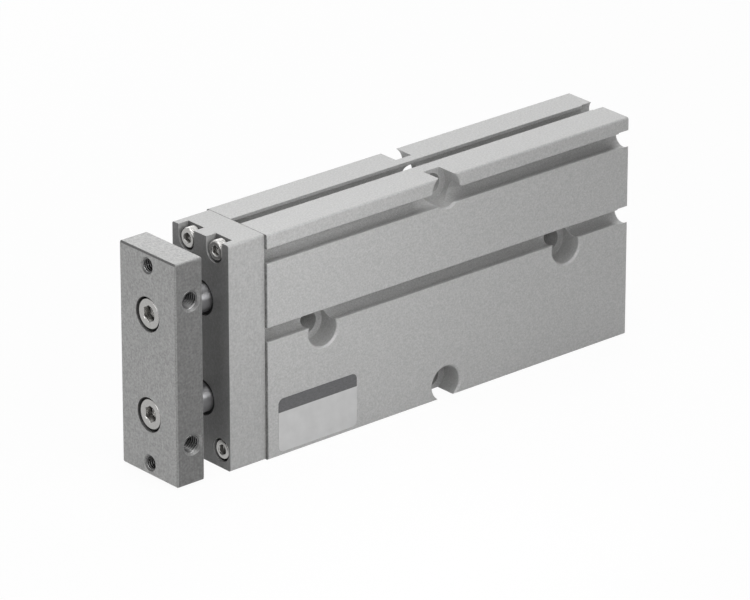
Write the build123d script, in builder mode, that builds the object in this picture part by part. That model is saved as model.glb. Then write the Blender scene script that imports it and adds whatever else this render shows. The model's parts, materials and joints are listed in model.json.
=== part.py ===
"""Twin rod guided cylinder, bore 16 mm, stroke 50 mm.

Two pistons work side by side in one extruded body and push one end plate
through two rods. The rods run along X with the end plate at -X, +Z is up and
the origin is under the middle of the part. All sizes are in millimetres and
the rods are drawn fully in.
"""

import os

from build123d import *

os.makedirs("parts", exist_ok=True)

# Working sizes
stroke = 50.0
bore_diameter = 16.0
rod_diameter = 8.0
rod_pitch = 28.0

# Extruded body
body_width = 24.0
body_height = 63.0
body_edge_radius = 0.6
bore_mouth_bevel = 0.4

# Rod cover
cover_length = 12.0
cover_side_inset = 0.75
cover_edge_radius = 0.6
spigot_seat_length = 8.0
spigot_relief_length = 15.0
relief_diameter = 13.0

# End plate
plate_thickness = 9.0
plate_width = 22.5
plate_end_inset = 0.5
plate_edge_radius = 0.6
plate_edge_bevel = 0.4
rest_gap = 8.5

# Pistons and their rings
piston_clearance = 0.25
piston_land = 1.8
wear_ring_width = 6.0
wear_ring_depth = 1.0
wear_ring_split = 0.8
piston_seal_width = 3.0
piston_seal_depth = 2.2
magnet_width = 4.0
magnet_depth = 2.0
bumper_length = 2.8
bumper_diameter = 13.0
bumper_edge_bevel = 0.6
stop_gap = 0.5

# Piston nut
nut_thickness = 4.0
nut_flats = 8.0
nut_pocket_share = 1.25

# Head plugs and their snap rings
plug_seat_length = 8.0
plug_relief_length = 11.0
plug_edge_bevel = 0.4
snap_ring_thickness = 1.0
snap_ring_width = 1.4
snap_groove_depth = 0.6
snap_ring_setback = 2.0
snap_ring_gap = 3.4
snap_lug_radius = 1.5
snap_lug_hole_radius = 0.6

# Bushes, rod seals and static seals
bush_diameter = 11.0
bush_shoulder = 1.0
bush_end_gap = 0.4
bush_bevel = 0.3
rod_seal_diameter = 10.0
rod_seal_depth = 4.0
rod_seal_length = 3.6
rod_seal_lip = 0.6
o_ring_section = 1.5
o_ring_facets = 8
o_ring_groove_width = 1.9
o_ring_groove_start = 3.0

# Sensor grooves, round inside behind a narrower mouth, and wider at their rear ends
side_groove_heights = (25.55, 3.65)
top_groove_offset = 0.5
groove_mouth = 4.1
groove_diameter = 5.0
groove_depth = 4.8
groove_entry_diameter = 6.0
groove_entry_depth = 4.9
groove_entry_length = 3.5

# Counterbored holes through the body for M5 screws
front_hole_distance = 19.0
rear_hole_distance = 22.0
edge_hole_inset = 4.0
side_hole_diameter = 5.8
counterbore_diameter = 9.6
counterbore_depth = 6.5
counterbore_bevel = 0.5

# Air ports
port_diameter = 5.0
port_depth = 5.0
port_bevel = 0.5
port_offset = 2.5
passage_diameter = 2.5

# Cover screws, M3
cover_screw_diameter = 3.0
cover_screw_clearance = 0.2
cover_screw_head_diameter = 5.5
cover_screw_head_height = 3.0
cover_screw_length = 16.0
cover_screw_socket = 2.5
cover_screw_socket_depth = 1.4
cover_head_clearance = 0.45
cover_recess_depth = 3.3
upper_screw_spread = 5.6
upper_screw_inset = 3.1
lower_screw_spread = 7.6
lower_screw_inset = 5.0

# Plate screws, M5
plate_screw_diameter = 5.0
plate_screw_clearance = 0.25
plate_screw_head_diameter = 8.5
plate_screw_head_height = 5.0
plate_screw_length = 16.0
plate_screw_socket = 4.0
plate_screw_socket_depth = 2.4
plate_head_clearance = 0.5
plate_recess_depth = 5.3
screw_head_bevel = 0.35
tap_end_allowance = 1.5

# Tapped holes of the end plate
front_tap_diameter = 4.0
front_tap_inset = 3.5
front_tap_bevel = 0.35
side_tap_diameter = 5.0
side_tap_inset = 11.0
side_tap_depth = 7.0
side_tap_setback = 5.1
side_tap_bevel = 0.6

# Clearances, all on the radius or on one side
running_clearance = 0.05
seat_clearance = 0.03
thread_clearance = 0.03
ring_side_clearance = 0.05

# Lengths that follow from the pieces inside
nut_pocket_depth = nut_thickness + 2 * ring_side_clearance
piston_length = (
    4 * piston_land + wear_ring_width + piston_seal_width + magnet_width + nut_pocket_depth
)
spigot_length = spigot_seat_length + spigot_relief_length
plug_length = plug_seat_length + plug_relief_length
plug_setback = snap_ring_setback + snap_ring_thickness + 2 * ring_side_clearance
piston_stack = piston_length + 2 * bumper_length
body_length = spigot_length + piston_stack + stroke + 2 * stop_gap + plug_length + plug_setback

# Places along X
total_length = plate_thickness + rest_gap + cover_length + body_length
plate_front = -total_length / 2
plate_back = plate_front + plate_thickness
cover_front = plate_back + rest_gap
body_front = cover_front + cover_length
body_back = body_front + body_length
plug_back = body_back - plug_setback
plug_front = plug_back - plug_length
piston_back = plug_front - stop_gap - bumper_length
piston_front = piston_back - piston_length
wear_ring_front = piston_front + piston_land
piston_seal_front = wear_ring_front + wear_ring_width + piston_land
magnet_front = piston_seal_front + piston_seal_width + piston_land
front_port = body_front + spigot_seat_length + port_offset
rear_port = plug_front + plug_relief_length - port_offset

# Heights
mid_height = body_height / 2
rod_levels = {"upper": mid_height + rod_pitch / 2, "lower": mid_height - rod_pitch / 2}
both_rods = [(0, height) for height in rod_levels.values()]
plate_bottom = plate_end_inset
plate_top = body_height - plate_end_inset

# Radii in common use
bore_radius = bore_diameter / 2
rod_radius = rod_diameter / 2
piston_radius = bore_radius - piston_clearance
spigot_radius = bore_radius - seat_clearance
o_ring_groove_radius = bore_radius - o_ring_section
o_ring_middle = bore_radius - o_ring_section / 2
nut_pocket_radius = nut_pocket_share * nut_flats / 2
cover_recess_radius = cover_screw_head_diameter / 2 + cover_head_clearance
plate_recess_radius = plate_screw_head_diameter / 2 + plate_head_clearance

# Places of the screw holes
front_hole = body_front + front_hole_distance
rear_hole = body_back - rear_hole_distance
middle_hole = (front_hole + rear_hole) / 2
body_holes = (
    (front_hole, mid_height),
    (rear_hole, mid_height),
    (middle_hole, body_height - edge_hole_inset),
    (middle_hole, edge_hole_inset),
)

# Places of the groove mouths, each with the way it faces
groove_places = [Location((top_groove_offset, body_height, 0), (0, 0, 90))]
for groove_height in side_groove_heights:
    groove_places += [
        Location((-body_width / 2, mid_height + groove_height, 0), (0, 0, 180)),
        Location((body_width / 2, mid_height + groove_height, 0), (0, 0, 0)),
    ]

# Places of the cover screws
upper_screws = [(y, body_height - upper_screw_inset) for y in (-upper_screw_spread, upper_screw_spread)]
lower_screws = [(y, lower_screw_inset) for y in (-lower_screw_spread, lower_screw_spread)]
cover_screw_places = upper_screws + lower_screws
cover_screw_reach = cover_screw_length + cover_recess_depth - cover_length


def facing(direction, x, y, z):
    """A plane at a point of the surface, facing out of the part."""
    return Plane(origin=(x, y, z), z_dir=direction)


def bore_axis(height):
    """The centreline of one bore."""
    return Axis((0, 0, height), (1, 0, 0))


# Extruded body with its bores, sensor grooves, screw holes and air ports
with BuildPart() as cylinder_body:
    with BuildSketch(Plane.YZ.offset(body_front)):
        with Locations((0, mid_height)):
            RectangleRounded(body_width, body_height, body_edge_radius)
        with Locations(*both_rods):
            Circle(bore_radius, mode=Mode.SUBTRACT)
        with Locations(*groove_places):
            Rectangle(2 * groove_depth - groove_diameter, groove_mouth, mode=Mode.SUBTRACT)
            with Locations((groove_diameter / 2 - groove_depth, 0)):
                Circle(groove_diameter / 2, mode=Mode.SUBTRACT)
    extrude(amount=body_length)

    # Wider rear ends of the sensor grooves
    with BuildSketch(Plane.YZ.offset(body_back - groove_entry_length)):
        with Locations(*groove_places):
            with Locations((groove_entry_diameter / 2 - groove_entry_depth, 0)):
                Circle(groove_entry_diameter / 2)
    extrude(amount=groove_entry_length, mode=Mode.SUBTRACT)

    bore_mouths = cylinder_body.edges().filter_by(GeomType.CIRCLE).group_by(SortBy.RADIUS)[-1]
    chamfer(bore_mouths, bore_mouth_bevel)

    # Grooves for the snap rings
    with BuildSketch(Plane.YZ.offset(plug_back)):
        with Locations(*both_rods):
            Circle(bore_radius + snap_groove_depth)
    extrude(amount=snap_ring_thickness + 2 * ring_side_clearance, mode=Mode.SUBTRACT)

    # Through holes, counterbored from both sides
    for side in (-1, 1):
        with Locations(*[facing((0, side, 0), x, side * body_width / 2, z) for x, z in body_holes]):
            CounterSinkHole(
                counterbore_diameter / 2,
                counterbore_diameter / 2 + counterbore_bevel,
                depth=counterbore_depth,
                counter_sink_angle=90,
            )
    with Locations(*[facing((0, -1, 0), x, -body_width / 2, z) for x, z in body_holes]):
        Hole(side_hole_diameter / 2, depth=body_width)

    # Air ports below, each with a passage up into both bores
    with Locations(*[facing((0, 0, -1), x, 0, 0) for x in (front_port, rear_port)]):
        CounterSinkHole(
            port_diameter / 2, port_diameter / 2 + port_bevel, depth=port_depth, counter_sink_angle=90
        )
        Hole(passage_diameter / 2, depth=rod_levels["upper"])

    # Tapped holes for the cover screws
    with Locations(*[facing((-1, 0, 0), body_front, y, z) for y, z in cover_screw_places]):
        Hole(
            cover_screw_diameter / 2 + thread_clearance,
            depth=cover_screw_reach + tap_end_allowance,
        )

cylinder_body.part.label = "cylinder_body"
export_step(cylinder_body.part, "parts/cylinder_body.step")

# Rod cover, a flanged block with one spigot in each bore
with BuildPart() as rod_cover:
    with BuildSketch(Plane.YZ.offset(cover_front)):
        with Locations((0, mid_height)):
            RectangleRounded(body_width - 2 * cover_side_inset, body_height, cover_edge_radius)
    extrude(amount=cover_length)
    with BuildSketch(Plane.YZ.offset(body_front)):
        with Locations(*both_rods):
            Circle(spigot_radius)
    extrude(amount=spigot_seat_length)
    with BuildSketch(Plane.YZ.offset(body_front + spigot_seat_length)):
        with Locations(*both_rods):
            Circle(relief_diameter / 2)
    extrude(amount=spigot_relief_length)

    # Groove round each spigot for its O-ring
    with BuildSketch(Plane.YZ.offset(body_front + o_ring_groove_start)):
        with Locations(*both_rods):
            Circle(spigot_radius)
            Circle(o_ring_groove_radius, mode=Mode.SUBTRACT)
    extrude(amount=o_ring_groove_width, mode=Mode.SUBTRACT)

    # Seats for rod seal and bush, with a shoulder between them
    with Locations(*[facing((-1, 0, 0), cover_front, y, z) for y, z in both_rods]):
        CounterBoreHole(
            rod_radius + 2 * running_clearance,
            rod_seal_diameter / 2,
            rod_seal_depth,
            depth=cover_length + spigot_length,
        )
    with BuildSketch(Plane.YZ.offset(cover_front + rod_seal_depth + bush_shoulder)):
        with Locations(*both_rods):
            Circle(bush_diameter / 2)
    extrude(amount=cover_length + spigot_length, mode=Mode.SUBTRACT)

    # Recesses for the screw heads, the upper two open through the top face
    with Locations(*[facing((-1, 0, 0), cover_front, y, z) for y, z in cover_screw_places]):
        CounterBoreHole(
            cover_screw_diameter / 2 + cover_screw_clearance,
            cover_recess_radius,
            cover_recess_depth,
            depth=cover_length,
        )
    with BuildSketch(Plane.YZ.offset(cover_front)):
        with Locations(*upper_screws):
            Rectangle(2 * cover_recess_radius, 2 * upper_screw_inset, align=(Align.CENTER, Align.MIN))
    extrude(amount=cover_recess_depth, mode=Mode.SUBTRACT)

rod_cover.part.label = "rod_cover"
export_step(rod_cover.part, "parts/rod_cover.step")

# Four cap screws that hold the cover
with BuildPart() as cover_screws:
    head_front = cover_front + cover_recess_depth - cover_screw_head_height
    with BuildSketch(Plane.YZ.offset(head_front)):
        with Locations(*cover_screw_places):
            Circle(cover_screw_head_diameter / 2)
    extrude(amount=cover_screw_head_height)
    chamfer(cover_screws.edges().group_by(Axis.X)[0], screw_head_bevel)
    with BuildSketch(Plane.YZ.offset(head_front)):
        with Locations(*cover_screw_places):
            RegularPolygon(cover_screw_socket / 2, 6, major_radius=False)
    extrude(amount=cover_screw_socket_depth, mode=Mode.SUBTRACT)
    with BuildSketch(Plane.YZ.offset(cover_front + cover_recess_depth)):
        with Locations(*cover_screw_places):
            Circle(cover_screw_diameter / 2)
    extrude(amount=cover_screw_length)

cover_screws.part.label = "cover_screws"
export_step(cover_screws.part, "parts/cover_screws.step")

# End plate
with BuildPart() as end_plate:
    with BuildSketch(Plane.YZ.offset(plate_front)):
        with Locations((0, mid_height)):
            RectangleRounded(plate_width, plate_top - plate_bottom, plate_edge_radius)
    extrude(amount=plate_thickness)
    plate_ends = end_plate.faces().filter_by(Axis.X)
    chamfer(plate_ends.edges(), plate_edge_bevel)

    with Locations(*[facing((-1, 0, 0), plate_front, y, z) for y, z in both_rods]):
        CounterBoreHole(
            plate_screw_diameter / 2 + plate_screw_clearance,
            plate_recess_radius,
            plate_recess_depth,
            depth=plate_thickness,
        )
    front_taps = [(0, plate_bottom + front_tap_inset), (0, plate_top - front_tap_inset)]
    with Locations(*[facing((-1, 0, 0), plate_front, y, z) for y, z in front_taps]):
        CounterSinkHole(
            front_tap_diameter / 2,
            front_tap_diameter / 2 + front_tap_bevel,
            depth=plate_thickness,
            counter_sink_angle=90,
        )
    side_tap_heights = (plate_bottom + side_tap_inset, plate_top - side_tap_inset)
    for side in (-1, 1):
        side_taps = [
            facing((0, side, 0), plate_front + side_tap_setback, side * plate_width / 2, z)
            for z in side_tap_heights
        ]
        with Locations(*side_taps):
            CounterSinkHole(
                side_tap_diameter / 2,
                side_tap_diameter / 2 + side_tap_bevel,
                depth=side_tap_depth,
                counter_sink_angle=90,
            )

end_plate.part.label = "end_plate"
export_step(end_plate.part, "parts/end_plate.step")

# Two cap screws that hold the end plate to the rods
with BuildPart() as plate_screws:
    head_front = plate_front + plate_recess_depth - plate_screw_head_height
    with BuildSketch(Plane.YZ.offset(head_front)):
        with Locations(*both_rods):
            Circle(plate_screw_head_diameter / 2)
    extrude(amount=plate_screw_head_height)
    chamfer(plate_screws.edges().group_by(Axis.X)[0], screw_head_bevel)
    with BuildSketch(Plane.YZ.offset(head_front)):
        with Locations(*both_rods):
            RegularPolygon(plate_screw_socket / 2, 6, major_radius=False)
    extrude(amount=plate_screw_socket_depth, mode=Mode.SUBTRACT)
    with BuildSketch(Plane.YZ.offset(plate_front + plate_recess_depth)):
        with Locations(*both_rods):
            Circle(plate_screw_diameter / 2)
    extrude(amount=plate_screw_length)

plate_screws.part.label = "plate_screws"
export_step(plate_screws.part, "parts/plate_screws.step")

# Nuts that hold the pistons on their rods
with BuildPart() as piston_nuts:
    nut_front = piston_back - nut_pocket_depth + ring_side_clearance
    with BuildSketch(Plane.YZ.offset(nut_front)):
        with Locations(*both_rods):
            RegularPolygon(nut_flats / 2, 6, major_radius=False)
            Circle(plate_screw_diameter / 2 + thread_clearance, mode=Mode.SUBTRACT)
    extrude(amount=nut_thickness)

piston_nuts.part.label = "piston_nuts"
export_step(piston_nuts.part, "parts/piston_nuts.step")


for level, height in rod_levels.items():

    # Rod, drilled for the plate screw and turned down behind for piston and nut
    with BuildPart() as rod:
        with BuildSketch(Plane.YZ.offset(plate_back)):
            with Locations((0, height)):
                Circle(rod_radius)
        extrude(amount=piston_front - plate_back)
        with BuildSketch(Plane.YZ.offset(piston_front)):
            with Locations((0, height)):
                Circle(plate_screw_diameter / 2)
        extrude(amount=piston_length - ring_side_clearance)
        chamfer(rod.edges().group_by(Axis.X)[0], bush_bevel)
        with Locations(facing((-1, 0, 0), plate_back, 0, height)):
            Hole(
                plate_screw_diameter / 2 + thread_clearance,
                depth=plate_screw_length + plate_recess_depth - plate_thickness + tap_end_allowance,
            )
    rod.part.label = f"{level}_rod"
    export_step(rod.part, f"parts/{level}_rod.step")

    # Bush that guides the rod, pressed into the spigot from behind
    with BuildPart() as bush:
        bush_front = cover_front + rod_seal_depth + bush_shoulder
        with BuildSketch(Plane.YZ.offset(bush_front)):
            with Locations((0, height)):
                Circle(bush_diameter / 2 - seat_clearance)
                Circle(rod_radius + running_clearance, mode=Mode.SUBTRACT)
        extrude(amount=body_front + spigot_length - bush_end_gap - bush_front)
        chamfer(bush.edges().filter_by(GeomType.CIRCLE), bush_bevel)
    bush.part.label = f"{level}_rod_bush"
    export_step(bush.part, f"parts/{level}_rod_bush.step")

    # Rod seal with its wiping lip to the front
    with BuildPart() as rod_seal:
        seal_back = cover_front + rod_seal_depth
        seal_front = seal_back - rod_seal_length
        seal_outside = height + rod_seal_diameter / 2 - seat_clearance
        seal_inside = height + rod_radius + running_clearance
        with BuildSketch(Plane.XZ):
            with BuildLine():
                Polyline(
                    (seal_front, seal_inside),
                    (seal_front + rod_seal_lip, seal_outside - rod_seal_lip / 2),
                    (seal_front + rod_seal_lip, seal_outside),
                    (seal_back, seal_outside),
                    (seal_back, seal_inside),
                    close=True,
                )
            make_face()
        revolve(axis=bore_axis(height))
    rod_seal.part.label = f"{level}_rod_seal"
    export_step(rod_seal.part, f"parts/{level}_rod_seal.step")

    # O-ring round the cover's spigot, squeezed flat against its groove and the bore
    with BuildPart() as cover_o_ring:
        cover_ring_x = body_front + o_ring_groove_start + o_ring_groove_width / 2
        with BuildSketch(Plane.XZ):
            with Locations((cover_ring_x, height + o_ring_middle)):
                RegularPolygon(
                    o_ring_section / 2 - seat_clearance,
                    o_ring_facets,
                    major_radius=False,
                    rotation=180 / o_ring_facets,
                )
        revolve(axis=bore_axis(height))
    cover_o_ring.part.label = f"{level}_cover_o_ring"
    export_step(cover_o_ring.part, f"parts/{level}_cover_o_ring.step")

    # Plug that closes the rear end of the bore
    with BuildPart() as head_plug:
        with BuildSketch(Plane.YZ.offset(plug_front)):
            with Locations((0, height)):
                Circle(relief_diameter / 2)
        extrude(amount=plug_relief_length)
        with BuildSketch(Plane.YZ.offset(plug_front + plug_relief_length)):
            with Locations((0, height)):
                Circle(bore_radius - seat_clearance)
        extrude(amount=plug_seat_length)
        chamfer(head_plug.edges().group_by(Axis.X)[-1], plug_edge_bevel)
        with BuildSketch(Plane.YZ.offset(plug_front + plug_relief_length + o_ring_groove_start)):
            with Locations((0, height)):
                Circle(bore_radius)
                Circle(o_ring_groove_radius, mode=Mode.SUBTRACT)
        extrude(amount=o_ring_groove_width, mode=Mode.SUBTRACT)
    head_plug.part.label = f"{level}_head_plug"
    export_step(head_plug.part, f"parts/{level}_head_plug.step")

    # O-ring round the plug, as squeezed as the cover's
    with BuildPart() as plug_o_ring:
        plug_ring_x = (
            plug_front + plug_relief_length + o_ring_groove_start + o_ring_groove_width / 2
        )
        with BuildSketch(Plane.XZ):
            with Locations((plug_ring_x, height + o_ring_middle)):
                RegularPolygon(
                    o_ring_section / 2 - seat_clearance,
                    o_ring_facets,
                    major_radius=False,
                    rotation=180 / o_ring_facets,
                )
        revolve(axis=bore_axis(height))
    plug_o_ring.part.label = f"{level}_plug_o_ring"
    export_step(plug_o_ring.part, f"parts/{level}_plug_o_ring.step")

    # Snap ring behind the plug, open below between two drilled lugs
    with BuildPart() as snap_ring:
        ring_outside = bore_radius + snap_groove_depth - seat_clearance
        ring_inside = ring_outside - snap_groove_depth - snap_ring_width
        lug_height = height - ring_inside + snap_lug_radius / 2
        lug_offset = (snap_ring_gap + snap_lug_radius) / 2
        with BuildSketch(Plane.YZ.offset(plug_back + ring_side_clearance)):
            with Locations((0, height)):
                Circle(ring_outside)
                Circle(ring_inside, mode=Mode.SUBTRACT)
            with Locations((-lug_offset, lug_height), (lug_offset, lug_height)):
                Circle(snap_lug_radius)
            with Locations((0, height)):
                Rectangle(
                    snap_ring_gap / 2,
                    bore_diameter,
                    align=(Align.CENTER, Align.MAX),
                    mode=Mode.SUBTRACT,
                )
            with Locations((-lug_offset, lug_height), (lug_offset, lug_height)):
                Circle(snap_lug_hole_radius, mode=Mode.SUBTRACT)
        extrude(amount=snap_ring_thickness)
    snap_ring.part.label = f"{level}_snap_ring"
    export_step(snap_ring.part, f"parts/{level}_snap_ring.step")

    # Piston, grooved for its rings and bored behind for the nut
    with BuildPart() as piston:
        with BuildSketch(Plane.YZ.offset(piston_front)):
            with Locations((0, height)):
                Circle(piston_radius)
                Circle(plate_screw_diameter / 2 + thread_clearance, mode=Mode.SUBTRACT)
        extrude(amount=piston_length)
        ring_grooves = [
            (wear_ring_front, wear_ring_width, wear_ring_depth),
            (piston_seal_front, piston_seal_width, piston_seal_depth),
        ]
        if level == "upper":
            ring_grooves.append((magnet_front, magnet_width, magnet_depth))
        for groove_front, groove_width, groove_depth in ring_grooves:
            with BuildSketch(Plane.YZ.offset(groove_front)):
                with Locations((0, height)):
                    Circle(piston_radius)
                    Circle(piston_radius - groove_depth, mode=Mode.SUBTRACT)
            extrude(amount=groove_width, mode=Mode.SUBTRACT)
        with BuildSketch(Plane.YZ.offset(piston_back - nut_pocket_depth)):
            with Locations((0, height)):
                Circle(nut_pocket_radius)
        extrude(amount=nut_pocket_depth, mode=Mode.SUBTRACT)
    piston.part.label = f"{level}_piston"
    export_step(piston.part, f"parts/{level}_piston.step")

    # Wear ring that guides the piston, split on top
    with BuildPart() as wear_ring:
        with BuildSketch(Plane.YZ.offset(wear_ring_front + ring_side_clearance)):
            with Locations((0, height)):
                Circle(bore_radius - running_clearance)
                Circle(piston_radius - wear_ring_depth + seat_clearance, mode=Mode.SUBTRACT)
                Rectangle(
                    wear_ring_split,
                    bore_diameter,
                    align=(Align.CENTER, Align.MIN),
                    mode=Mode.SUBTRACT,
                )
        extrude(amount=wear_ring_width - 2 * ring_side_clearance)
    wear_ring.part.label = f"{level}_wear_ring"
    export_step(wear_ring.part, f"parts/{level}_wear_ring.step")

    # Piston seal, a cup that is open to the rear
    with BuildPart() as piston_seal:
        cup_front = piston_seal_front + ring_side_clearance
        cup_back = piston_seal_front + piston_seal_width - ring_side_clearance
        cup_outside = height + bore_radius - running_clearance
        cup_inside = height + piston_radius - piston_seal_depth + seat_clearance
        cup_middle = (cup_outside + cup_inside) / 2
        with BuildSketch(Plane.XZ):
            with BuildLine():
                Polyline(
                    (cup_front, cup_inside),
                    (cup_front, cup_outside),
                    (cup_back, cup_outside),
                    ((cup_front + cup_back) / 2, cup_middle),
                    (cup_back, cup_inside),
                    close=True,
                )
            make_face()
        revolve(axis=bore_axis(height))
    piston_seal.part.label = f"{level}_piston_seal"
    export_step(piston_seal.part, f"parts/{level}_piston_seal.step")

    # Rubber bumpers before and behind the piston
    bumpers = {
        "front": (piston_front - bumper_length, rod_radius + running_clearance),
        "rear": (piston_back, nut_pocket_radius),
    }
    for place, (bumper_start, bumper_inside) in bumpers.items():
        with BuildPart() as bumper:
            with BuildSketch(Plane.YZ.offset(bumper_start)):
                with Locations((0, height)):
                    Circle(bumper_diameter / 2)
                    Circle(bumper_inside, mode=Mode.SUBTRACT)
            extrude(amount=bumper_length)
            stop_face = bumper.faces().sort_by(Axis.X)[0 if place == "front" else -1]
            chamfer(stop_face.outer_wire().edges(), bumper_edge_bevel)
        bumper.part.label = f"{level}_{place}_bumper"
        export_step(bumper.part, f"parts/{level}_{place}_bumper.step")

# Ring magnet that the sensors in the grooves look for, on the upper piston alone
with BuildPart() as piston_magnet:
    with BuildSketch(Plane.YZ.offset(magnet_front + ring_side_clearance)):
        with Locations((0, rod_levels["upper"])):
            Circle(piston_radius - seat_clearance)
            Circle(piston_radius - magnet_depth + seat_clearance, mode=Mode.SUBTRACT)
    extrude(amount=magnet_width - 2 * ring_side_clearance)

piston_magnet.part.label = "piston_magnet"
export_step(piston_magnet.part, "parts/piston_magnet.step")
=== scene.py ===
"""Twin rod guided cylinder: finishes, small details, light and camera.

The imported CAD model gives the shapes, in metres. Sizes here are millimetres
unless a name says otherwise, and MM turns them into metres.
"""

import json
import math

import bpy
from mathutils import Matrix, Vector


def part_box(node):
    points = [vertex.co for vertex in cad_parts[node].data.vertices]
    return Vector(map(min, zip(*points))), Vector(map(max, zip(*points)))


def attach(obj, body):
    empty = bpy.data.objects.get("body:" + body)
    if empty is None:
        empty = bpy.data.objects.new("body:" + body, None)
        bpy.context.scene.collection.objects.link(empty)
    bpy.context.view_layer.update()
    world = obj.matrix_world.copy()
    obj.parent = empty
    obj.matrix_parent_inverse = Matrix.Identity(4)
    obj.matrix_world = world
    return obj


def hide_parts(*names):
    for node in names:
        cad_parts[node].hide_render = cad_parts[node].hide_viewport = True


MM = 0.001

# Camera, fitted to the photograph with the model's own sizes
CAMERA_AZIMUTH = -40.80
CAMERA_ELEVATION = 23.12
CAMERA_DISTANCE = 1600.0
CAMERA_TARGET = (-1.37, 0.0, 28.16)
FOCAL_PIXELS = 6086.0
PHOTO_WIDTH = 750
SENSOR_WIDTH = 36.0
NEAREST_SHOWN = 50.0
FARTHEST_SHOWN = 50000.0

# Threads: radius and pitch, and the form of the ridges
M5_THREAD = (2.5, 0.8)
M4_THREAD = (2.0, 0.7)
THREAD_DEPTH_SHARE = 0.54
THREAD_SINK = 0.03
THREAD_STEPS = 56
ROWS_PER_PITCH = 7
RIDGE_SLOPE = 1.7
RIDGE_DROP = 0.35

# Tapped holes of the end plate and air ports of the body
FRONT_TAP_INSET = 3.5
FRONT_TAP_BEVEL = 0.35
SIDE_TAP_INSET = 11.0
SIDE_TAP_SETBACK = 5.1
SIDE_TAP_BEVEL = 0.6
SIDE_TAP_DEPTH = 7.0
PORT_BEVEL = 0.5
PORT_DEPTH = 5.0
FRONT_PORT_DISTANCE = 10.5
REAR_PORT_DISTANCE = 13.6

# Cap screws: shank radius, head radius and height, socket across flats and depth, length
PLATE_SCREW = {"shank": 2.5, "head": 4.25, "height": 5.0, "socket": 4.0, "depth": 2.4, "length": 16.0}
COVER_SCREW = {"shank": 1.5, "head": 2.75, "height": 3.0, "socket": 2.5, "depth": 1.4, "length": 16.0}
SCREW_SINK = 0.3
SCREW_STEPS = 144
KNURL_STEPS = 4
KNURL_DEPTH = 0.11
KNURL_TOP = 0.55
KNURL_FOOT = 0.35
UPPER_SCREW_SPREAD = 5.6
UPPER_SCREW_INSET = 3.1
LOWER_SCREW_SPREAD = 7.6
LOWER_SCREW_INSET = 5.0

# Cone at the floor of a screw's socket and small ring in its middle, as shares of the socket
SOCKET_CONE = 0.25
MIDDLE_RING = 0.02

# Edges of a screw: along the screw from the end named, and in or out from the edge named
SOCKET_CHAMFER = 0.22
SOCKET_RIM = ((0.02, 0.06), (0.0, 0.14))
HEAD_TOP_EDGE = ((0.0, 0.42), (0.10, 0.22), (0.42, 0.02))
HEAD_FOOT_EDGE = ((0.25, 0.10), (0.0, 0.22))
SHANK_CHAMFER = (0.5, 0.45)

# Bare sticker on the near side of the body
LABEL_LEFT = 3.6
LABEL_BOTTOM = 1.1
LABEL_SIZE = (26.6, 15.0)
LABEL_BAND = 3.8
LABEL_CORNER = 1.6
LABEL_CORNER_STEPS = 8
LABEL_THICKNESS = 0.08
LABEL_SINK = 0.02
LABEL_SILVER = ((0.53, 0.53, 0.53, 1), (0.58, 0.58, 0.58, 1))
LABEL_INK = ((0.09, 0.09, 0.094, 1), (0.135, 0.135, 0.139, 1))
LABEL_BAND_BLUR = 0.02

# Edges in the shading: radius, and cosines of the turn over which edges grow lighter, by wear and
# painted highlight
METAL_EDGE_RADIUS = 0.22
MOULDED_EDGE_RADIUS = 0.12
EDGE_SAMPLES = 6
EDGE_RANGE = (0.80, 0.995)
MOULDED_EDGE_WEAR_AND_HIGHLIGHT = 1.5

# Spread of roughness and colour over a finish
METAL_GLOSS = (-0.05, 0.06)
MOULDED_GLOSS = (-0.06, 0.08)
STREAK_SHARE = 0.25
MOULDED_MOTTLE = 0.15
MOULDED_CLOUD_PORES = 9
RING_SHADE = 0.72

# Cosines of a face's turn from an axis over which the painted light and shade of that axis comes in
FACE_RANGE = (0.6, 0.9)

# Dark line where cover and body meet
JOINT_WIDTH = 0.22
JOINT_SHADE = 0.3
JOINT_BREAK_SIZE = 0.8

# Dark line on the plate's upper front edge
TOP_EDGE_WIDTH = 0.30
TOP_EDGE_SHADE = 0.35
TOP_EDGE_RANGE = (-0.35, -0.05)

# Painted shade deep in holes and grooves
CAVITY_REACH = 7.0
CAVITY_SHADE = 0.12
CAVITY_RANGE = (0.06, 0.20)
CAVITY_SAMPLES = 4

# Chromed rods
ROD_ANISOTROPY = 0.9
ROD_HIGHLIGHT_TURN = 0.25

# Floor and surroundings
FLOOR_HALF = 6000.0
FLOOR_DROP = 0.02
FLOOR_GREYS = ((0.79, 0.79, 0.79, 1), (0.81, 0.81, 0.81, 1))
FLOOR_WHITENESS = 0.95
WORLD_STRENGTH = 0.03

# Lamps: name, place and aim in metres, side in metres, power in watts
LAMPS = (
    ("overhead", (0, -0.08, 0.95), (0, 0, 0.03), 0.9, 5.2),
    ("behind", (0.65, 0.78, 0.80), (0, 0, 0.03), 1.0, 4.6),
    ("front", (0.10, -0.40, 0.33), (0, 0, 0.03), 0.30, 0.38),
    ("front_low", (-0.06, -0.11, 0.09), (-0.04, 0, 0.03), 0.08, 0.062),
    ("left", (-0.45, -0.05, 0.20), (-0.05, 0, 0.03), 0.20, 0.40),
    ("far", (0.05, 0.45, 0.12), (0, 0, 0.03), 0.35, 0.45),
)

# Sockets of the mix node that take and give colours
MIX_FACTOR = 0
MIX_FIRST = 6
MIX_SECOND = 7
MIX_RESULT = 2


def add_node(tree, kind, inputs=None, **settings):
    """A new shader node. An input that is a socket becomes a link."""
    node = tree.nodes.new(kind)
    for name, value in settings.items():
        setattr(node, name, value)
    for name, value in (inputs or {}).items():
        if isinstance(value, bpy.types.NodeSocket):
            tree.links.new(value, node.inputs[name])
        else:
            node.inputs[name].default_value = value
    return node


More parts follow.
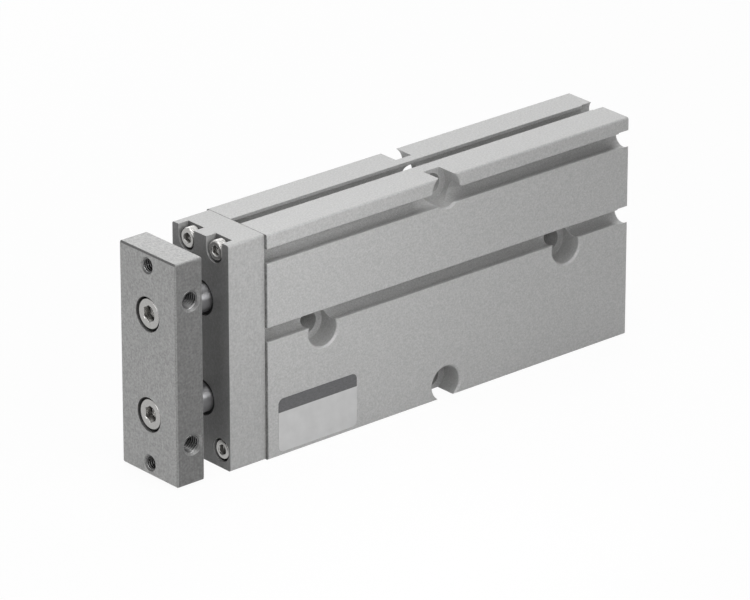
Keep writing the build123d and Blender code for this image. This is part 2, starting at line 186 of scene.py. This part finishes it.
def new_material(name, roughness, metallic=0.0, **constants):
    """A material whose Principled shader has these constants on its own sockets."""
    material = bpy.data.materials.new(name)
    material.use_nodes = True
    shader = material.node_tree.nodes["Principled BSDF"]
    shader.inputs["Roughness"].default_value = roughness
    shader.inputs["Metallic"].default_value = metallic
    for socket, value in constants.items():
        shader.inputs[socket.replace("_", " ").title()].default_value = value
    return material, material.node_tree, shader


def speckle(tree, size, stretch=(1.0, 1.0, 1.0), detail=2.0):
    """Noise with spots of about this size, drawn out along an axis by stretch."""
    place = add_node(tree, "ShaderNodeTexCoord").outputs["Object"]
    scale = [1 / (size * MM * share) for share in stretch]
    mapping = add_node(tree, "ShaderNodeMapping", {"Vector": place, "Scale": scale})
    noise = {"Vector": mapping.outputs["Vector"], "Scale": 1.0, "Detail": detail}
    return add_node(tree, "ShaderNodeTexNoise", noise).outputs[0]


def spread(tree, value, low, high, start=0.3, end=0.7):
    """A value between start and end, where noise mostly lies, spread over low to high."""
    inputs = {"Value": value, "From Min": start, "From Max": end, "To Min": low, "To Max": high}
    return add_node(tree, "ShaderNodeMapRange", inputs).outputs["Result"]


def blend_colours(tree, factor, first, second):
    """Two colours mixed by a factor. Each may be a socket."""
    inputs = {MIX_FACTOR: factor, MIX_FIRST: first, MIX_SECOND: second}
    return add_node(tree, "ShaderNodeMix", inputs, data_type="RGBA").outputs[MIX_RESULT]


def multiply(tree, colour, share):
    """A colour times a share, both sockets."""
    node = add_node(tree, "ShaderNodeVectorMath", {0: colour, 1: share}, operation="MULTIPLY")
    return node.outputs["Vector"]


def shade(colour, share):
    """A colour with alpha, made lighter or darker."""
    return [min(channel * share, 1.0) for channel in colour] + [1.0]


def rounded_normal(tree, radius):
    """The normal that a small rounding of the edges gives."""
    reach = {"Radius": radius * MM}
    return add_node(tree, "ShaderNodeBevel", reach, samples=EDGE_SAMPLES).outputs["Normal"]


def rounded_edges(tree, radius):
    """The normal that a small edge rounding gives, and how near an edge a point is."""
    rounded = rounded_normal(tree, radius)
    flat = add_node(tree, "ShaderNodeNewGeometry").outputs["True Normal"]
    turn = add_node(tree, "ShaderNodeVectorMath", {0: rounded, 1: flat}, operation="DOT_PRODUCT")
    return rounded, spread(tree, turn.outputs["Value"], 1.0, 0.0, *EDGE_RANGE)


def paint_face_light(tree, colour, axis, share):
    """A colour times share on the faces along an axis: painted light where share is above one,
    painted shade where below.
    """
    normal = add_node(tree, "ShaderNodeNewGeometry").outputs["True Normal"]
    part = add_node(tree, "ShaderNodeSeparateXYZ", {"Vector": normal}).outputs[axis]
    facing = add_node(tree, "ShaderNodeMath", {0: part}, operation="ABSOLUTE").outputs["Value"]
    inputs = {
        MIX_FACTOR: spread(tree, facing, 0.0, 1.0, *FACE_RANGE),
        MIX_FIRST: colour,
        MIX_SECOND: (share, share, share, 1.0),
    }
    node = add_node(tree, "ShaderNodeMix", inputs, data_type="RGBA", blend_type="MULTIPLY")
    return node.outputs[MIX_RESULT]


def darken_joint(tree, colour, joint):
    """A colour darkened in a fine uneven line where two parts meet at this X, in metres."""
    place = add_node(tree, "ShaderNodeNewGeometry").outputs["Position"]
    along_x = add_node(tree, "ShaderNodeSeparateXYZ", {"Vector": place}).outputs["X"]
    offset = add_node(tree, "ShaderNodeMath", {0: along_x, 1: joint}, operation="SUBTRACT")
    distance = add_node(tree, "ShaderNodeMath", {0: offset.outputs["Value"]}, operation="ABSOLUTE")
    width = JOINT_WIDTH * MM
    line = spread(tree, distance.outputs["Value"], 1.0, 0.0, 0.5 * width, width)
    breaks = spread(tree, speckle(tree, JOINT_BREAK_SIZE), JOINT_SHADE, 2 * JOINT_SHADE)
    return blend_colours(tree, line, colour, multiply(tree, colour, breaks))


def paint_cavity_shade(tree, colour):
    """A colour darkened deep in holes and narrow gaps: painted shade where little light reaches."""
    reach = {"Distance": CAVITY_REACH * MM}
    node = add_node(tree, "ShaderNodeAmbientOcclusion", reach, samples=CAVITY_SAMPLES)
    share = spread(tree, node.outputs["AO"], CAVITY_SHADE, 1.0, *CAVITY_RANGE)
    return multiply(tree, colour, share)


def add_gloss_and_bump(tree, shader, pattern, roughness, gloss, depth, normal):
    """Uneven roughness and bumps of this depth, both from one pattern, over a normal."""
    low, high = gloss
    uneven = spread(tree, pattern, roughness + low, roughness + high)
    tree.links.new(uneven, shader.inputs["Roughness"])
    bump = {"Height": pattern, "Distance": depth * MM, "Normal": normal}
    bumpy = add_node(tree, "ShaderNodeBump", bump).outputs["Normal"]
    tree.links.new(bumpy, shader.inputs["Normal"])


def metal(
    name,
    colour,
    roughness,
    metallic,
    grain,
    grain_depth,
    mottle,
    edge_wear_and_highlight=1.18,
    faces=(),
    joint=None,
):
    """Bare or anodised metal: grain, faint mottling, uneven gloss, edges lighter by wear and painted
    highlight, and painted shade deep in holes.

    grain is (size, stretch along X, Y, Z) and mottle is (size, share of the colour). faces holds
    an axis and a share of the colour for each direction whose faces get painted light or painted
    shade. joint is the X where the piece meets its neighbour, and the edge share makes edges
    lighter by wear and painted highlight.
    """
    material, tree, shader = new_material(name, roughness, metallic)
    grain_size, grain_stretch = grain
    mottle_size, mottle_share = mottle
    streaks = speckle(tree, grain_size, grain_stretch, detail=3.0)
    clouds = speckle(tree, mottle_size, detail=4.0)

    patchy = blend_colours(
        tree,
        spread(tree, clouds, 0.0, 1.0),
        shade(colour, 1 - mottle_share),
        shade(colour, 1 + mottle_share),
    )
    streak = spread(tree, streaks, 0.0, STREAK_SHARE)
    streaky = blend_colours(tree, streak, patchy, shade(colour, 1 - 2 * mottle_share))
    normal, edge = rounded_edges(tree, METAL_EDGE_RADIUS)
    # Edges lighter: partly wear, partly painted highlight
    painted = blend_colours(tree, edge, streaky, shade(colour, edge_wear_and_highlight))
    # Painted light and shade on faces along an axis
    for axis, share in faces:
        painted = paint_face_light(tree, painted, axis, share)
    if joint is not None:
        painted = darken_joint(tree, painted, joint)
    # Painted shade deep in holes and grooves over the colour
    tree.links.new(paint_cavity_shade(tree, painted), shader.inputs["Base Color"])
    add_gloss_and_bump(tree, shader, streaks, roughness, METAL_GLOSS, grain_depth, normal)
    return material


def darken_base(material, share):
    """Multiply the base colour of a finished material by a share, which is a socket of its tree."""
    tree = material.node_tree
    base = tree.nodes["Principled BSDF"].inputs["Base Color"]
    tree.links.new(multiply(tree, base.links[0].from_socket, share), base)


def add_top_edge_line(material):
    """A thin dark line along the rounded edge between the front, towards -X, and the top."""
    tree = material.node_tree
    normal = rounded_normal(tree, TOP_EDGE_WIDTH)
    parts = add_node(tree, "ShaderNodeSeparateXYZ", {"Vector": normal}).outputs
    tilt = add_node(tree, "ShaderNodeMath", {0: parts["X"], 1: parts["Z"]}, operation="MULTIPLY")
    share = spread(tree, tilt.outputs["Value"], TOP_EDGE_SHADE, 1.0, *TOP_EDGE_RANGE)
    darken_base(material, share)


def add_turning_rings(material, count):
    """Fine lathe marks round the X axis through the middle of each piece that has this material."""
    tree = material.node_tree
    place = add_node(tree, "ShaderNodeTexCoord").outputs["Generated"]
    middle = (0.5, 0.5, 0.5)
    centred = add_node(tree, "ShaderNodeVectorMath", {0: place, 1: middle}, operation="SUBTRACT")
    rings = add_node(
        tree,
        "ShaderNodeTexWave",
        {"Vector": centred.outputs["Vector"], "Scale": count, "Distortion": 1.5, "Detail": 2.0},
        wave_type="RINGS",
        rings_direction="X",
    )
    darken_base(material, spread(tree, rings.outputs["Fac"], RING_SHADE, 1.0, 0.0, 1.0))


def body_aluminium(joint):
    """Extruded, blasted and anodised, with the die's faint lines along X."""
    return metal(
        "body_aluminium",
        colour=(0.46, 0.46, 0.457),
        roughness=0.50,
        metallic=0.12,
        grain=(0.34, (1.8, 1.0, 1.0)),
        grain_depth=0.05,
        mottle=(0.45, 0.15),
        joint=joint,
    )


def cover_aluminium(joint):
    """Machined block with an upright grain, anodised, with painted shade on its milled front."""
    return metal(
        "cover_aluminium",
        colour=(0.41, 0.41, 0.407),
        roughness=0.46,
        metallic=0.15,
        grain=(0.30, (1.0, 1.0, 5.0)),
        grain_depth=0.05,
        mottle=(0.50, 0.15),
        # Front faces along X darker: painted shade
        faces=(("X", 0.47),),
        joint=joint,
    )


def plate_aluminium():
    """Milled plate with a plain upright grain, anodised, with painted light on its front and painted
    shade on its sides.
    """
    material = metal(
        "plate_aluminium",
        colour=(0.285, 0.285, 0.282),
        roughness=0.40,
        metallic=0.35,
        grain=(0.32, (1.0, 1.0, 12.0)),
        grain_depth=0.04,
        mottle=(0.55, 0.25),
        # Edges lighter by wear and painted highlight; front along X lighter by painted light, sides
        # along Y darker by painted shade
        edge_wear_and_highlight=1.35,
        faces=(("X", 1.32), ("Y", 0.585)),
    )
    add_top_edge_line(material)
    return material


def cut_thread():
    """Dark metal of a freshly tapped thread, with painted highlights on its edges and painted shade
    deep in the hole.
    """
    return metal(
        "cut_thread",
        colour=(0.10, 0.10, 0.10),
        roughness=0.20,
        metallic=0.95,
        grain=(0.10, (1.0, 1.0, 1.0)),
        grain_depth=0.01,
        mottle=(0.6, 0.10),
        # Edges much lighter: painted highlight on the thread ridges
        edge_wear_and_highlight=5.5,
    )


def plug_aluminium():
    """Turned and anodised plug in the rear end of a bore."""
    material = metal(
        "plug_aluminium",
        colour=(0.45, 0.45, 0.45),
        roughness=0.36,
        metallic=0.75,
        grain=(0.12, (1.0, 1.0, 1.0)),
        grain_depth=0.006,
        mottle=(1.8, 0.06),
    )
    add_turning_rings(material, 9.0)
    return material


def piston_aluminium():
    """Turned piston with a warm chromate tint."""
    material = metal(
        "piston_aluminium",
        colour=(0.60, 0.58, 0.52),
        roughness=0.33,
        metallic=0.9,
        grain=(0.10, (0.6, 6.0, 6.0)),
        grain_depth=0.006,
        mottle=(1.5, 0.05),
    )
    add_turning_rings(material, 12.0)
    return material


def screw_steel():
    """Nickel plated steel of the cap screws."""
    return metal(
        "screw_steel",
        colour=(0.40, 0.395, 0.385),
        roughness=0.21,
        metallic=1.0,
        grain=(0.14, (1.0, 1.0, 1.0)),
        grain_depth=0.006,
        mottle=(0.9, 0.06),
        edge_wear_and_highlight=1.25,
    )


def nut_steel():
    """Zinc plated steel of the piston nuts."""
    return metal(
        "nut_steel",
        colour=(0.58, 0.57, 0.52),
        roughness=0.35,
        metallic=1.0,
        grain=(0.16, (1.0, 1.0, 1.0)),
        grain_depth=0.008,
        mottle=(0.9, 0.08),
    )


def rod_chrome():
    """Hard chromed rod whose fine grinding rings draw highlights out along it."""
    material = metal(
        "rod_chrome",
        colour=(0.47, 0.47, 0.48),
        roughness=0.34,
        metallic=1.0,
        grain=(0.05, (1.0, 60.0, 60.0)),
        grain_depth=0.0015,
        mottle=(3.0, 0.02),
    )
    tree = material.node_tree
    shader = tree.nodes["Principled BSDF"]
    shader.inputs["Anisotropic"].default_value = ROD_ANISOTROPY
    shader.inputs["Anisotropic Rotation"].default_value = ROD_HIGHLIGHT_TURN
    rings = add_node(tree, "ShaderNodeTangent", direction_type="RADIAL", axis="X")
    tree.links.new(rings.outputs["Tangent"], shader.inputs["Tangent"])
    return material


def bush_bronze():
    """Sintered bronze, brown and a little porous."""
    return metal(
        "bush_bronze",
        colour=(0.42, 0.27, 0.13),
        roughness=0.45,
        metallic=0.95,
        grain=(0.12, (1.0, 1.0, 1.0)),
        grain_depth=0.012,
        mottle=(0.7, 0.12),
    )


def spring_steel():
    """Phosphated spring steel of the snap rings, nearly black."""
    return metal(
        "spring_steel",
        colour=(0.11, 0.11, 0.115),
        roughness=0.42,
        metallic=0.9,
        grain=(0.18, (1.0, 1.0, 1.0)),
        grain_depth=0.008,
        mottle=(0.8, 0.12),
        edge_wear_and_highlight=2.0,
    )


def moulded(name, colour, roughness, sheen, pore, pore_depth):
    """Rubber or plastic: small pores, slight clouding, and soft edges made lighter by wear and
    painted highlight.
    """
    material, tree, shader = new_material(name, roughness, sheen_weight=sheen)
    pores = speckle(tree, pore, detail=4.0)
    clouds = speckle(tree, MOULDED_CLOUD_PORES * pore, detail=2.0)
    cloudy = blend_colours(
        tree,
        spread(tree, clouds, 0.0, 1.0),
        shade(colour, 1 - MOULDED_MOTTLE),
        shade(colour, 1 + MOULDED_MOTTLE),
    )
    normal, edge = rounded_edges(tree, MOULDED_EDGE_RADIUS)
    # Edges lighter: partly wear, partly painted highlight
    worn_and_highlit = blend_colours(tree, edge, cloudy, shade(colour, MOULDED_EDGE_WEAR_AND_HIGHLIGHT))
    tree.links.new(worn_and_highlit, shader.inputs["Base Color"])
    add_gloss_and_bump(tree, shader, pores, roughness, MOULDED_GLOSS, pore_depth, normal)
    return material


def seal_rubber():
    """Black nitrile rubber."""
    return moulded("seal_rubber", (0.022, 0.022, 0.023), 0.5, 0.05, 0.12, 0.006)


def magnet_compound():
    """Dark bonded ferrite."""
    return moulded("magnet_compound", (0.05, 0.045, 0.045), 0.6, 0.0, 0.18, 0.01)


def bumper_urethane():
    """Brown translucent looking urethane."""
    return moulded("bumper_urethane", (0.23, 0.15, 0.06), 0.35, 0.05, 0.25, 0.004)


def wear_ring_plastic():
    """Ivory bearing resin."""
    return moulded("wear_ring_plastic", (0.66, 0.61, 0.50), 0.45, 0.0, 0.2, 0.006)


def label_film(band_height):
    """Silver film, dark above band_height, with a faint paper-like grain."""
    material, tree, shader = new_material("label_film", 0.42, 0.25)
    place = add_node(tree, "ShaderNodeTexCoord").outputs["Object"]
    height = add_node(tree, "ShaderNodeSeparateXYZ", {"Vector": place}).outputs["Z"]
    blur = LABEL_BAND_BLUR * MM
    band = spread(tree, height, 0.0, 1.0, band_height - blur, band_height + blur)
    fibres = speckle(tree, 0.2, (3.0, 1.0, 1.0), detail=3.0)
    clouds = speckle(tree, 4.0, detail=2.0)
    silver = blend_colours(tree, spread(tree, clouds, 0.0, 1.0), *LABEL_SILVER)
    ink = blend_colours(tree, spread(tree, fibres, 0.0, 1.0), *LABEL_INK)
    tree.links.new(blend_colours(tree, band, silver, ink), shader.inputs["Base Color"])
    tree.links.new(spread(tree, fibres, 0.36, 0.48), shader.inputs["Roughness"])
    bump = {"Height": fibres, "Distance": 0.004 * MM}
    tree.links.new(add_node(tree, "ShaderNodeBump", bump).outputs["Normal"], shader.inputs["Normal"])
    return material


def floor_paint():
    """Pale floor that camera and reflections see as white, with the part's soft shadow."""
    material, tree, shader = new_material("floor_paint", 0.9)
    grain = speckle(tree, 6.0)
    pale = blend_colours(tree, spread(tree, grain, 0.0, 1.0), *FLOOR_GREYS)
    tree.links.new(pale, shader.inputs["Base Color"])
    white = add_node(tree, "ShaderNodeEmission")
    share = spread(tree, white_for_the_eye(tree), 0.0, FLOOR_WHITENESS, 0.0, 1.0)
    mix = add_node(tree, "ShaderNodeMixShader", {"Fac": share})
    tree.links.new(shader.outputs["BSDF"], mix.inputs[1])
    tree.links.new(white.outputs["Emission"], mix.inputs[2])
    tree.links.new(mix.outputs["Shader"], tree.nodes["Material Output"].inputs["Surface"])
    return material


def white_for_the_eye(tree):
    """One for camera, glossy and transmission rays, otherwise zero."""
    path = add_node(tree, "ShaderNodeLightPath")
    seen = path.outputs["Is Camera Ray"]
    for other in ("Is Glossy Ray", "Is Transmission Ray"):
        inputs = {0: seen, 1: path.outputs[other]}
        seen = add_node(tree, "ShaderNodeMath", inputs, operation="MAXIMUM").outputs["Value"]
    return seen


FINISHES = {
    "plate_aluminium": plate_aluminium,
    "plug_aluminium": plug_aluminium,
    "piston_aluminium": piston_aluminium,
    "screw_steel": screw_steel,
    "nut_steel": nut_steel,
    "rod_chrome": rod_chrome,
    "bush_bronze": bush_bronze,
    "spring_steel": spring_steel,
    "seal_rubber": seal_rubber,
    "magnet_compound": magnet_compound,
    "bumper_urethane": bumper_urethane,
    "wear_ring_plastic": wear_ring_plastic,
}


def make_piece(name, points, faces, material, body):
    """A mesh piece in the frame, riding on a body. Points are in metres."""
    mesh = bpy.data.meshes.new(name)
    mesh.from_pydata([tuple(point) for point in points], [], faces)
    mesh.materials.append(material)
    mesh.validate()
    mesh.update()
    piece = bpy.data.objects.new(name, mesh)
    bpy.context.scene.collection.objects.link(piece)
    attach(piece, body)
    return piece


def ring_faces(rings, steps, closed=False):
    """Quads between neighbouring rings of points, and back to the first if closed."""
    pairs = [(ring, ring + 1) for ring in range(rings - 1)]
    if closed:
        pairs.append((rings - 1, 0))
    faces = []
    for first, second in pairs:
        for step in range(steps):
            after = (step + 1) % steps
            here, there = first * steps, second * steps
            faces.append((here + step, here + after, there + after, there + step))
    return faces


def along(origin, direction):
    """A matrix whose Z axis starts at origin and points along direction, in metres."""
    turn = Vector(direction).to_track_quat("Z", "Y").to_matrix().to_4x4()
    return Matrix.Translation(Vector(origin)) @ turn


def ridge(turn_share):
    """Height of a thread ridge from 0 to 1 at a share of one pitch."""
    slope = 1 - abs(2 * (turn_share % 1.0) - 1)
    return min(max(RIDGE_SLOPE * slope - RIDGE_DROP, 0.0), 1.0)


def around(place, angle, radius, level):
    """A point at this angle, radius and level round the Z axis of a matrix, in metres."""
    return place @ (Vector((radius * math.cos(angle), radius * math.sin(angle), level)) * MM)


def tapped_thread(name, mouth, inward, size, start, end, material, body):
    """Thread ridges that stand inward from the wall of a tapped hole.

    mouth is the hole's centre at the surface in metres, inward points into the hole, size is the
    radius and pitch, and the thread runs from start to end below the surface. A plain wall, sunk
    into the hole's own, closes the ridges behind.
    """
    radius, pitch = size
    rows = int((end - start) / pitch * ROWS_PER_PITCH)
    depth = THREAD_DEPTH_SHARE * pitch
    place = along(mouth, inward)
    rings = [(rows, False), (0, False)] + [(row, True) for row in range(rows + 1)]
    points = []
    for row, ridged in rings:
        level = start + (end - start) * row / rows
        for step in range(THREAD_STEPS):
            reach = radius + THREAD_SINK
            if ridged:
                reach = radius - depth * ridge(level / pitch - step / THREAD_STEPS)
            points.append(around(place, 2 * math.pi * step / THREAD_STEPS, reach, level))
    faces = ring_faces(len(rings), THREAD_STEPS, closed=True)
    make_piece(name, points, faces, material, body)


def plain(_, size):
    """Radius of a round ring of a screw."""
    return size


def hexagon(angle, size):
    """Radius at an angle of a hexagon with this distance from the middle to each flat."""
    return size / math.cos((angle + math.pi / 6) % (math.pi / 3) - math.pi / 6)


def knurled(angle, size):
    """Radius at an angle of a screw head with fine upright ridges."""
    wave = (angle / (2 * math.pi) * SCREW_STEPS) % KNURL_STEPS
    return size - KNURL_DEPTH * abs(wave - KNURL_STEPS / 2) / (KNURL_STEPS / 2)


def screw_profile(sizes):
    """Rings of a cap screw as level, radius and shape, from the socket's floor to the tip."""
    shank, head, height = sizes["shank"], sizes["head"], sizes["height"]
    tip = height + sizes["length"]
    socket = sizes["socket"] / 2
    socket_corner = socket / math.cos(math.pi / 6)
    chamfer_length, chamfer_depth = SHANK_CHAMFER
    return [
        (sizes["depth"] + SOCKET_CONE * socket, MIDDLE_RING * socket, plain),
        (sizes["depth"], socket, hexagon),
        (SOCKET_CHAMFER, socket, hexagon),
        *((down, socket_corner + out, plain) for down, out in SOCKET_RIM),
        *((down, head - inset, plain) for down, inset in HEAD_TOP_EDGE),
        (KNURL_TOP, head, knurled),
        (height - KNURL_FOOT, head, knurled),
        *((height - up, head - inset, plain) for up, inset in HEAD_FOOT_EDGE),
        (height, shank, plain),
        (tip - chamfer_length, shank, plain),
        (tip, shank - chamfer_depth, plain),
        (tip, MIDDLE_RING * socket, plain),
    ]


def cap_screw(name, head_top, inward, sizes, material, body, node):
    """Socket head cap screw with a knurled head, in place of the plain one of the CAD node."""
    profile = screw_profile(sizes)
    place = along(head_top, inward)
    points = []
    for level, size, shape in profile:
        for step in range(SCREW_STEPS):
            angle = 2 * math.pi * step / SCREW_STEPS
            points.append(around(place, angle, shape(angle, size), level))
    faces = ring_faces(len(profile), SCREW_STEPS)
    faces.append(tuple(range(SCREW_STEPS)))
    last = (len(profile) - 1) * SCREW_STEPS
    faces.append(tuple(last + step for step in reversed(range(SCREW_STEPS))))
    piece = make_piece(name, points, faces, material, body)
    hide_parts(node)


def sticker(name, left, bottom, side, material, body):
    """Thin film with rounded corners on the side of the body, sunk a hair into it."""
    width, height = LABEL_SIZE
    outline = []
    corners = ((width, height, 0), (0, height, 90), (0, 0, 180), (width, 0, 270))
    for corner_x, corner_z, start in corners:
        centre_x = abs(corner_x - LABEL_CORNER)
        centre_z = abs(corner_z - LABEL_CORNER)
        for step in range(LABEL_CORNER_STEPS + 1):
            angle = math.radians(start + 90 * step / LABEL_CORNER_STEPS)
            x = centre_x + LABEL_CORNER * math.cos(angle)
            z = centre_z + LABEL_CORNER * math.sin(angle)
            outline.append((x, z))
    count = len(outline)
    points = []
    for level in (side + LABEL_SINK * MM, side - LABEL_THICKNESS * MM):
        points += [(left + x * MM, level, bottom + z * MM) for x, z in outline]
    faces = ring_faces(2, count)
    faces.append(tuple(range(count, 2 * count)))
    faces.append(tuple(reversed(range(count))))
    make_piece(name, points, faces, material, body)


def soft_light(name, place, aim, size, power):
    """A square lamp, aimed at a point, in metres and watts, that the camera doesn't see."""
    lamp = bpy.data.lights.new(name, "AREA")
    lamp.shape = "SQUARE"
    lamp.size = size
    lamp.energy = power
    light = bpy.data.objects.new(name, lamp)
    light.visible_camera = False
    light.location = place
    light.rotation_mode = "QUATERNION"
    light.rotation_quaternion = (Vector(aim) - Vector(place)).to_track_quat("-Z", "Y")
    bpy.context.scene.collection.objects.link(light)


def add_world():
    """Even grey light all round that camera and reflections see as white."""
    world = bpy.data.worlds.new("studio")
    world.use_nodes = True
    bpy.context.scene.world = world
    tree = world.node_tree
    background = tree.nodes["Background"]
    background.inputs["Color"].default_value = (1, 1, 1, 1)
    strength = spread(tree, white_for_the_eye(tree), WORLD_STRENGTH, 1.0, 0.0, 1.0)
    tree.links.new(strength, background.inputs["Strength"])


def add_camera():
    """Camera at the photograph's viewing angle."""
    azimuth, elevation = math.radians(CAMERA_AZIMUTH), math.radians(CAMERA_ELEVATION)
    back = Vector(
        (
            math.sin(azimuth) * math.cos(elevation),
            -math.cos(azimuth) * math.cos(elevation),
            math.sin(elevation),
        )
    )
    data = bpy.data.cameras.new("camera")
    data.sensor_width = SENSOR_WIDTH
    data.lens = FOCAL_PIXELS * SENSOR_WIDTH / PHOTO_WIDTH
    data.clip_start = NEAREST_SHOWN * MM
    data.clip_end = FARTHEST_SHOWN * MM
    camera = bpy.data.objects.new("camera", data)
    camera.location = (Vector(CAMERA_TARGET) + back * CAMERA_DISTANCE) * MM
    camera.rotation_mode = "QUATERNION"
    camera.rotation_quaternion = (-back).to_track_quat("-Z", "Y")
    bpy.context.scene.collection.objects.link(camera)
    bpy.context.scene.camera = camera


def add_floor():
    """Wide plain floor under the part."""
    half = FLOOR_HALF * MM
    corners = [(-half, -half, 0), (half, -half, 0), (half, half, 0), (-half, half, 0)]
    mesh = bpy.data.meshes.new("floor")
    mesh.from_pydata(corners, [], [(0, 1, 2, 3)])
    mesh.materials.append(floor_paint())
    floor = bpy.data.objects.new("floor", mesh)
    floor.location.z = -FLOOR_DROP * MM
    bpy.context.scene.collection.objects.link(floor)


def heights_inside(low, high, inset):
    """Names and heights of the places this far inside the lower and the upper end of a box."""
    return (("lower", low.z + inset * MM), ("upper", high.z - inset * MM))


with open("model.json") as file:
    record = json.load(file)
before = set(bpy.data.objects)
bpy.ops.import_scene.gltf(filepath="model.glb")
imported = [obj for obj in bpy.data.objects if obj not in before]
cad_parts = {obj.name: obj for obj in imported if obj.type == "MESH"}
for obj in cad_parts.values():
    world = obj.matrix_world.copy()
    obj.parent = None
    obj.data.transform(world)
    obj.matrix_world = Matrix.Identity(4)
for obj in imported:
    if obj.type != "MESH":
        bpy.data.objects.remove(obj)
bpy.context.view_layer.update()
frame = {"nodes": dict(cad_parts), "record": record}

# Finishes of the CAD nodes
body_low, body_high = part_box("cylinder_body")
materials = {slot: finish() for slot, finish in FINISHES.items()}
materials["body_aluminium"] = body_aluminium(body_low.x)
materials["cover_aluminium"] = cover_aluminium(body_low.x)
thread_metal = cut_thread()
for row in frame["record"]["subparts"]:
    for material_slot in frame["nodes"][row["node"]].material_slots:
        material_slot.material = materials[row["material_slot"]]

# Boxes and heights that the details are set from, in metres
plate_low, plate_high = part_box("end_plate")
cover_low, cover_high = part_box("rod_cover")
rod_boxes = {level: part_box(f"{level}_rod") for level in ("upper", "lower")}
rod_heights = {level: (low.z + high.z) / 2 for level, (low, high) in rod_boxes.items()}

# Threads of the end plate
for level, height in heights_inside(plate_low, plate_high, FRONT_TAP_INSET):
    tapped_thread(
        name=f"{level}_front_thread",
        mouth=(plate_low.x, 0, height),
        inward=(1, 0, 0),
        size=M4_THREAD,
        start=FRONT_TAP_BEVEL,
        end=(plate_high.x - plate_low.x) / MM,
        material=thread_metal,
        body="carriage",
    )
for side, inward, surface in (("near", 1, plate_low.y), ("far", -1, plate_high.y)):
    for level, height in heights_inside(plate_low, plate_high, SIDE_TAP_INSET):
        tapped_thread(
            name=f"{side}_{level}_side_thread",
            mouth=(plate_low.x + SIDE_TAP_SETBACK * MM, surface, height),
            inward=(0, inward, 0),
            size=M5_THREAD,
            start=SIDE_TAP_BEVEL,
            end=SIDE_TAP_DEPTH,
            material=thread_metal,
            body="carriage",
        )

# Threads of the air ports
for place, middle in (
    ("front", body_low.x + FRONT_PORT_DISTANCE * MM),
    ("rear", body_high.x - REAR_PORT_DISTANCE * MM),
):
    tapped_thread(
        name=f"{place}_port_thread",
        mouth=(middle, 0, body_low.z),
        inward=(0, 0, 1),
        size=M5_THREAD,
        start=PORT_BEVEL,
        end=PORT_DEPTH,
        material=thread_metal,
        body="cylinder",
    )

# Cap screws
for level, height in rod_heights.items():
    cap_screw(
        name=f"{level}_plate_screw",
        head_top=(plate_low.x + SCREW_SINK * MM, 0, height),
        inward=(1, 0, 0),
        sizes=PLATE_SCREW,
        material=materials["screw_steel"],
        body="carriage",
        node="plate_screws",
    )
for level, offset, height in (
    ("upper", UPPER_SCREW_SPREAD, cover_high.z - UPPER_SCREW_INSET * MM),
    ("lower", LOWER_SCREW_SPREAD, cover_low.z + LOWER_SCREW_INSET * MM),
):
    for side, sign in (("near", -1), ("far", 1)):
        cap_screw(
            name=f"{level}_{side}_cover_screw",
            head_top=(cover_low.x + SCREW_SINK * MM, sign * offset * MM, height),
            inward=(1, 0, 0),
            sizes=COVER_SCREW,
            material=materials["screw_steel"],
            body="cylinder",
            node="cover_screws",
        )

# Sticker
label_bottom = body_low.z + LABEL_BOTTOM * MM
sticker(
    name="label",
    left=body_low.x + LABEL_LEFT * MM,
    bottom=label_bottom,
    side=body_low.y,
    material=label_film(label_bottom + (LABEL_SIZE[1] - LABEL_BAND) * MM),
    body="cylinder",
)

# Floor, surroundings, camera and light
add_floor()
add_world()
add_camera()
for lamp in LAMPS:
    soft_light(*lamp)
bpy.context.scene.view_settings.view_transform = "Standard"
